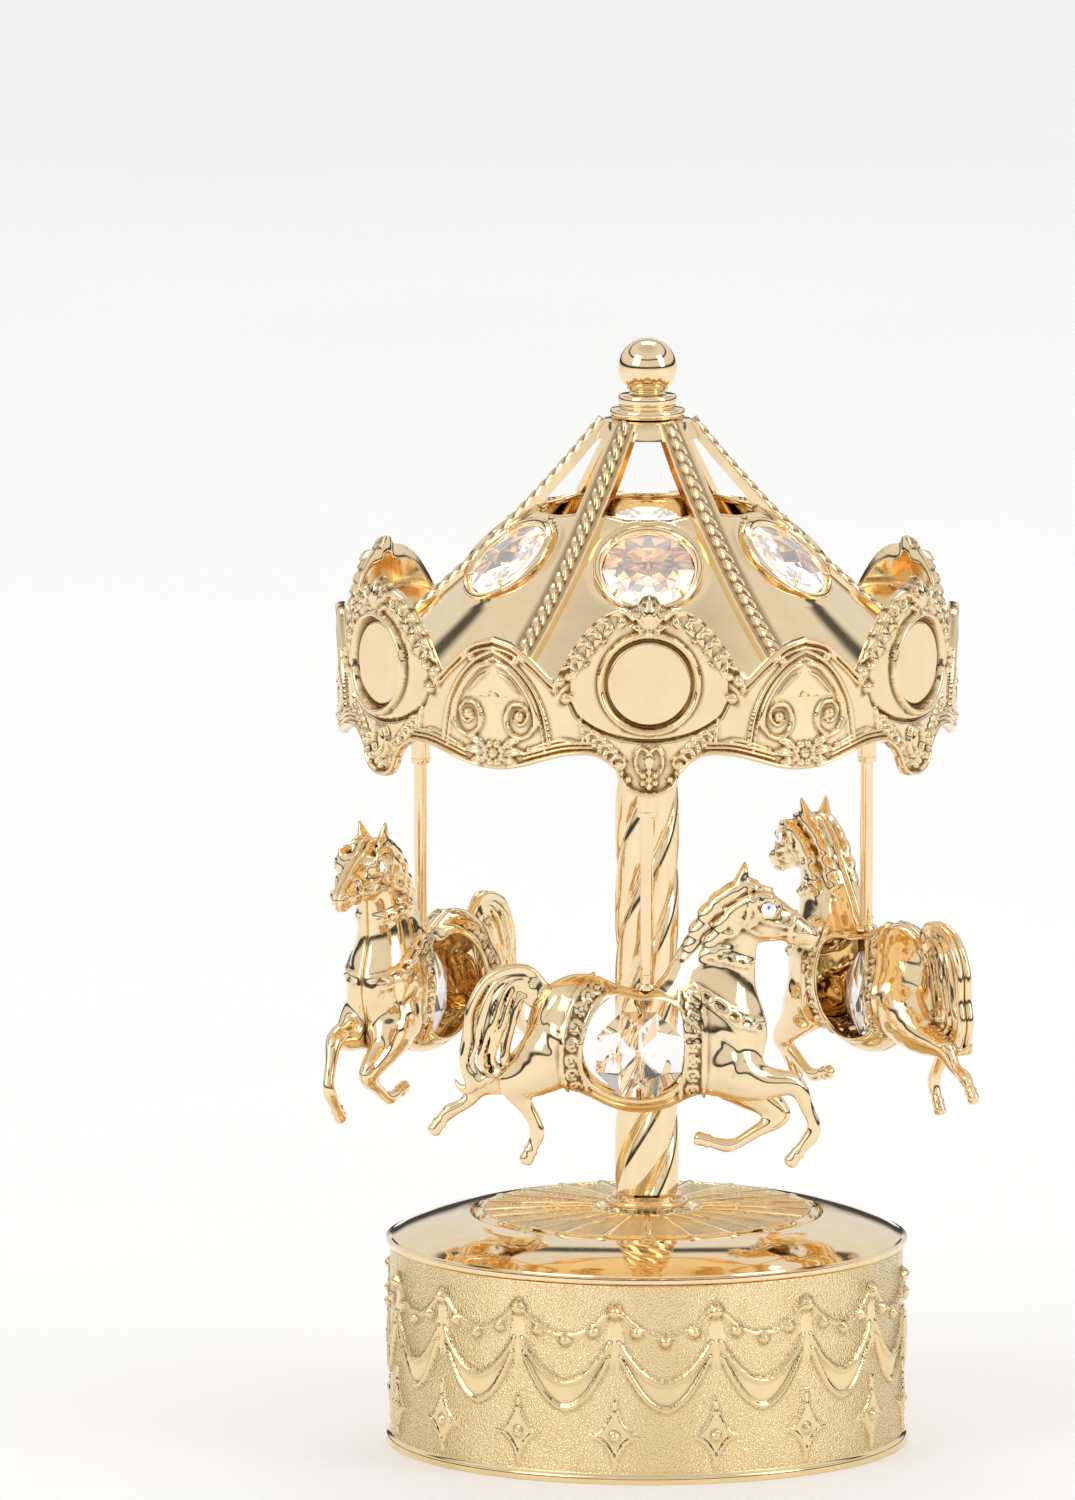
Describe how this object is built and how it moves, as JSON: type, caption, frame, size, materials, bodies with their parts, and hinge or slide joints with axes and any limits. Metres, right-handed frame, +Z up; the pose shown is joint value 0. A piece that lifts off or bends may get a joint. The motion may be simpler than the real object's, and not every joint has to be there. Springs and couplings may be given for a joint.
{
  "type": "carousel music box",
  "caption": "Wind-up music box in a round embossed drum that turns a twisted pole, a crystal-set canopy and galloping horses on rods.",
  "frame": {"origin": "on the carousel's spin axis, on the plane that the drum stands on", "axes": "+Z up along the spin axis, -Y towards the front of the box"},
  "size_m": [0.1024, 0.096, 0.1706],
  "materials": {
    "polished_gold": "mirror-polished pale gold plating",
    "stamped_gold": "pale gold plating over stamped relief, satin ground with bright high points",
    "movement_brass": "turned and cut brass",
    "bright_steel": "bright turned steel",
    "spring_steel": "blued spring steel",
    "cast_bed": "plated casting",
    "crystal": "clear cut crystal"
  },
  "bodies": {
    "base": {"base_drum": "stamped_gold", "top_cover": "polished_gold", "bottom_plate": "bright_steel", "bottom_screw_1": "bright_steel", "bottom_screw_2": "bright_steel", "bedplate": "cast_bed", "comb": "spring_steel", "comb_screw_1": "bright_steel", "comb_screw_2": "bright_steel", "cylinder_bearing": "movement_brass", "governor_bracket": "movement_brass"},
    "winder": {"key_arbor": "bright_steel", "winding_key": "movement_brass"},
    "cylinder": {"cylinder_axle": "bright_steel", "drive_pinion": "movement_brass", "governor_gear": "movement_brass", "pin_cylinder": "movement_brass"},
    "governor_wheel": {"governor_wheel": "bright_steel"},
    "governor_fan": {"governor_fan": "bright_steel"},
    "carousel": {"spring_barrel": "movement_brass", "crown_gear": "movement_brass", "mainspring": "spring_steel", "spindle": "bright_steel", "turntable_disc": "stamped_gold", "pole_foot_ring": "polished_gold", "pole": "polished_gold", "ceiling_plate": "polished_gold", "pole_nut": "bright_steel", "canopy_roof": "polished_gold", "valance": "stamped_gold", "finial_collar": "polished_gold", "finial_ball": "polished_gold", "roof_crystal_1": "crystal", "roof_crystal_2": "crystal", "roof_crystal_3": "crystal", "roof_crystal_4": "crystal", "roof_crystal_5": "crystal", "roof_crystal_6": "crystal", "horse_1_outer_half": "polished_gold", "horse_1_inner_half": "polished_gold", "horse_1_rod": "polished_gold", "horse_1_rod_collar": "polished_gold", "horse_1_crystal": "crystal", "horse_1_outer_eye": "crystal", "horse_1_inner_eye": "crystal", "horse_2_outer_half": "polished_gold", "horse_2_inner_half": "polished_gold", "horse_2_rod": "polished_gold", "horse_2_rod_collar": "polished_gold", "horse_2_crystal": "crystal", "horse_2_outer_eye": "crystal", "horse_2_inner_eye": "crystal", "horse_3_outer_half": "polished_gold", "horse_3_inner_half": "polished_gold", "horse_3_rod": "polished_gold", "horse_3_rod_collar": "polished_gold", "horse_3_crystal": "crystal", "horse_3_outer_eye": "crystal", "horse_3_inner_eye": "crystal"}
  },
  "joints": [
    {"name": "carousel_turn", "type": "hinge", "parent": "base", "child": "carousel", "pos_m": [0, 0, 0.034], "axis": [0, 0, 1], "continuous": true},
    {"name": "key_wind", "type": "hinge", "parent": "base", "child": "winder", "pos_m": [0, 0, 0.006], "axis": [0, 0, 1], "continuous": true},
    {"name": "cylinder_turn", "type": "hinge", "parent": "base", "child": "cylinder", "pos_m": [0.021, 0, 0.0186], "axis": [1, 0, 0], "continuous": true},
    {"name": "governor_wheel_turn", "type": "hinge", "parent": "base", "child": "governor_wheel", "pos_m": [0.031, 0.008, 0.0186], "axis": [1, 0, 0], "continuous": true},
    {"name": "governor_fan_turn", "type": "hinge", "parent": "base", "child": "governor_fan", "pos_m": [0.0315, 0.0134, 0.02], "axis": [0, 0, 1], "continuous": true}
  ],
  "couplings": [
    {"joint": "cylinder_turn", "follows": "carousel_turn", "ratio": 3},
    {"joint": "governor_wheel_turn", "follows": "carousel_turn", "ratio": -9},
    {"joint": "governor_fan_turn", "follows": "carousel_turn", "ratio": 144}
  ]
}
